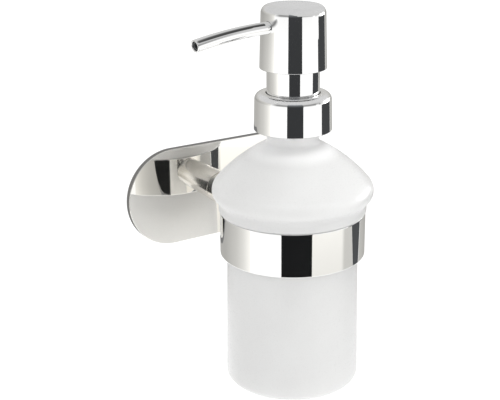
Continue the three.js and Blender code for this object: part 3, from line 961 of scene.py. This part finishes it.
def add_card(name, span, low, high, light, material, shades=False):
    """A curved card on the tent, between two elevations, which only reflections show.

    span gives its two azimuths at an elevation, and light gives its brightness and tint. A card that
    shades is felt by matt pieces too.
    """
    columns, rows = 32, 32
    points, lights = [], []
    for row in range(rows + 1):
        elevation = low + (high - low) * row / rows
        start, end = span(elevation)
        for column in range(columns + 1):
            azimuth = start + (end - start) * column / columns
            level = math.cos(math.radians(elevation))
            x = math.cos(math.radians(azimuth)) * level
            y = math.sin(math.radians(azimuth)) * level
            z = math.sin(math.radians(elevation))
            points.append(AXIS + Vector((x, y, z)) * TENT_RADIUS)
            strength, tint = light(azimuth, elevation)
            lights.append([strength * channel for channel in tint] + [1])
    faces = []
    for row in range(rows):
        for column in range(columns):
            first = row * (columns + 1) + column
            faces.append((first, first + 1, first + columns + 2, first + columns + 1))
    mesh = bpy.data.meshes.new(name)
    mesh.from_pydata(points, [], faces)
    glow = mesh.color_attributes.new("light", "FLOAT_COLOR", "POINT")
    for i, colour in enumerate(lights):
        glow.data[i].color = colour
    card = bpy.data.objects.new(name, mesh)
    card.data.materials.append(material)
    card.visible_camera = False
    card.visible_diffuse = shades
    card.visible_shadow = False
    bpy.context.scene.collection.objects.link(card)


def upright(left, right):
    """The span of a card whose sides don't lean."""
    return lambda elevation: (left, right)


def side_cloth(elevation):
    """The cloth to the right widens from 14 degrees at its foot to 45 at its top."""
    left = graded(elevation, (-24, -13), (-12, -32))
    right = graded(elevation, (-24, 1), (-12, 13))
    return left, right


def rear_wall(elevation):
    return graded(elevation, (-24, 2), (-12, 14)), REAR_END


def near_floor(elevation):
    return FRONT_RIGHT, graded(elevation, (-24, -13), (-16, -26.5))


def front_light(azimuth, elevation):
    """A black cloth in front, which fades into the sky above."""
    stops = ((-19, 0.012), (-13, 0.04), (0, 0.045), (10, 0.08), (20, 0.12), (32, 0.22), (45, SKY_LIGHT))
    return graded(elevation, *stops), COOL


def spout_mirror(elevation):
    """The azimuth, at an elevation, that the spout's near side mirrors to the camera."""
    parallax = 2  # degrees, because the spout stands off the axis
    lengthwise = level_to_camera().dot(SPOUT_OUT.xy) / math.cos(math.radians(elevation))
    return math.degrees(SPOUT_TURN - math.acos(min(1, lengthwise))) - parallax


def horizon_light(azimuth, elevation):
    """The dim far side of the room above the white floor, with a bright gap for the spout's side."""
    dim_middle = ((5, 0.8), (12, 0.42), (19, 0.24), (25, 0.32))
    dim = graded(elevation, (FLOOR_END, FLOOR_LIGHT), *dim_middle, (HORIZON_TOP, SKY_LIGHT))
    lit = graded(elevation, (FLOOR_END, FLOOR_LIGHT), (HORIZON_TOP, SKY_LIGHT))
    gap = graded(elevation, (6, FLOOR_LIGHT), (16, 0.6), (36, 0.35))
    off_spout = abs(azimuth - spout_mirror(elevation))
    share = graded(azimuth, (LEFT_END, 0), (-172, 1), (-40, 1), (RIGHT_END, 0))
    share *= graded(off_spout, (4, 0), (6, 1))
    lit = graded(off_spout, (4, gap), (6, lit))
    return lit + (dim - lit) * share, NEUTRAL


def side_light(azimuth, elevation):
    """A black cloth to the right of the object."""
    return graded(elevation, (-24, 0.09), (-18, 0.075), (-12, 0.06)), COOL


def side_glow(azimuth, elevation):
    """A soft box above the black cloth."""
    share = graded(azimuth, (BOX_LEFT, 0), (-16, 1), (6, 1), (BOX_RIGHT, 0))
    bright = graded(elevation, (-1, 1.2), (3, 8), (12, 8), (18, 1.5), (28, SKY_LIGHT))
    return SKY_LIGHT + (bright - SKY_LIGHT) * share, NEUTRAL


def rear_light(azimuth, elevation):
    """The grey end of the room behind, which brightens towards the left, with a low dark rail."""
    wall = graded(azimuth, (105, 0.48), (120, 0.55), (140, 0.66), (155, 0.84), (REAR_END, FLOOR_LIGHT))
    wall = graded(azimuth, (8, 0.58), (30, wall))
    rail = ((-20, 0.95), (-18.5, 0.8), (-15.5, 0.8), (-13.5, 1), (-5, 1), (-1, 0.84))
    wall *= graded(elevation, *rail)
    into_sky = graded(elevation, (8, 0), (24, 1))
    return wall + (SKY_LIGHT - wall) * into_sky, WARM


def near_floor_light(azimuth, elevation):
    """The floor close in front, which is a little duller than the rest."""
    floor = graded(elevation, (-27, 0.8), (-22, 0.93), (-16, FLOOR_LIGHT))
    dull = graded(elevation, (-24, 0.62), (-19, 0.64), (-15, FLOOR_LIGHT))
    share = graded(azimuth, (-42, 0), (-36, 1))
    return floor + (dull - floor) * share, WARM


def ceiling_light(azimuth, elevation):
    """A dark flag overhead, which draws the line along the spout's top."""
    dark = graded(elevation, (42, SKY_LIGHT), (47, 0.05), (60, 0.05), (70, 0.09), (80, SKY_LIGHT))
    share = graded(azimuth, (-62, 0), (-48, 0.95), (-15, 1), (10, 0.9), (50, 0))
    return SKY_LIGHT + (dark - SKY_LIGHT) * share, NEUTRAL


def add_sky():
    """Lights everything from all round, as brightly below as the floor and dimmer above."""
    world = bpy.data.worlds.new("studio")
    bpy.context.scene.world = world
    world.use_nodes = True
    tree = world.node_tree
    background = tree.nodes["Background"]
    background.inputs["Color"].default_value = (1, 1, 1, 1)
    direction = tree.nodes.new("ShaderNodeTexCoord")
    split = tree.nodes.new("ShaderNodeSeparateXYZ")
    tree.links.new(direction.outputs["Generated"], split.inputs["Vector"])
    ramp = tree.nodes.new("ShaderNodeMapRange")
    ramp.interpolation_type = "SMOOTHSTEP"
    ramp.inputs["From Min"].default_value = -0.02
    ramp.inputs["From Max"].default_value = 0.1
    ramp.inputs["To Min"].default_value = FLOOR_LIGHT
    ramp.inputs["To Max"].default_value = SKY_LIGHT
    tree.links.new(split.outputs["Z"], ramp.inputs["Value"])
    tree.links.new(ramp.outputs["Result"], background.inputs["Strength"])


def add_soft_light(name, place, size, power):
    """A square soft light that faces the bottle's shoulder. Polished metal doesn't show it."""
    data = bpy.data.lights.new(name, "AREA")
    data.size = size
    data.energy = power
    light = bpy.data.objects.new(name, data)
    light.location = place
    light.visible_glossy = False
    target = AXIS + Vector((0, 0, SHOULDER_HEIGHT))
    light.rotation_euler = (target - light.location).to_track_quat("-Z", "Y").to_euler()
    bpy.context.scene.collection.objects.link(light)


def add_floor():
    half = FLOOR_HALF
    corners = [(x, y, FLOOR_HEIGHT) for x, y in ((-half, -half), (half, -half), (half, half), (-half, half))]
    stage_sheet("pale_floor", corners, glowing("pale_floor", NEUTRAL, FLOOR_LIGHT))


def add_rim_shade():
    """A dark sheet behind the plate, which draws the dark line round its rim."""
    overhang = 6 * MM
    behind = Vector((0, 4 * MM, 0))
    corners = [point + behind for point in oblong(-overhang, 0)]
    stage_sheet("rim_shade", corners, glowing("rim_shade", (0.2, 0.2, 0.2), 1.0), False)


def add_head_shield():
    """A pale sheet that keeps the dark flag out of the head's satin top, but not out of the spout."""
    height = HEAD_HIGH.z + 3 * MM
    outline = [(-2, -20), (60, -20), (60, -130), (-14, -130), (-14, -78), (-2, -78)]
    corners = [(x * MM, y * MM, height) for x, y in outline]
    stage_sheet("head_shield", corners, glowing("head_shield", NEUTRAL, SKY_LIGHT), False)


def add_cards():
    cards = card_material()
    add_card("front_card", upright(FRONT_LEFT, FRONT_RIGHT), CARD_FOOT, 45, front_light, cards)
    add_card("horizon_left", upright(LEFT_END, FRONT_LEFT), FLOOR_END, HORIZON_TOP, horizon_light, cards)
    add_card("horizon_right", upright(FRONT_RIGHT, RIGHT_END), FLOOR_END, HORIZON_TOP, horizon_light, cards)
    add_card("side_card", side_cloth, CARD_FOOT, -1, side_light, cards, shades=True)
    add_card("side_box", upright(BOX_LEFT, BOX_RIGHT), -1, 30, side_glow, cards)
    add_card("rear_card", rear_wall, CARD_FOOT, 24, rear_light, cards)
    add_card("near_floor", near_floor, CARD_FOOT, -16, near_floor_light, cards)
    add_card("overhead_flag", upright(-62, 50), 42, 80, ceiling_light, cards)


def add_lights():
    add_soft_light("overhead_light", Vector((0.3, -0.3, 1.1)), size=0.8, power=7.0)
    add_soft_light("front_fill", Vector((-0.25, -1.0, 0.4)), size=0.8, power=3.0)
    add_soft_light("rear_fill", Vector((-0.2, 0.75, 0.15)), size=0.5, power=3.5)


def add_studio():
    add_floor()
    add_rim_shade()
    add_head_shield()
    add_cards()
    add_lights()
    add_sky()


# ------------------------------------------------------------------ the scene

add_camera()
wall_plate()
wall_adapter()
adhesive_pad()
support_post()
ring_band()
glass_bottle()
collar_shell()
metal_sleeve()
head_shell()
spout_tube()
spout_liner()
return_spring()
finish_cad_nodes()
add_studio()

bpy.context.scene.view_settings.view_transform = "Standard"
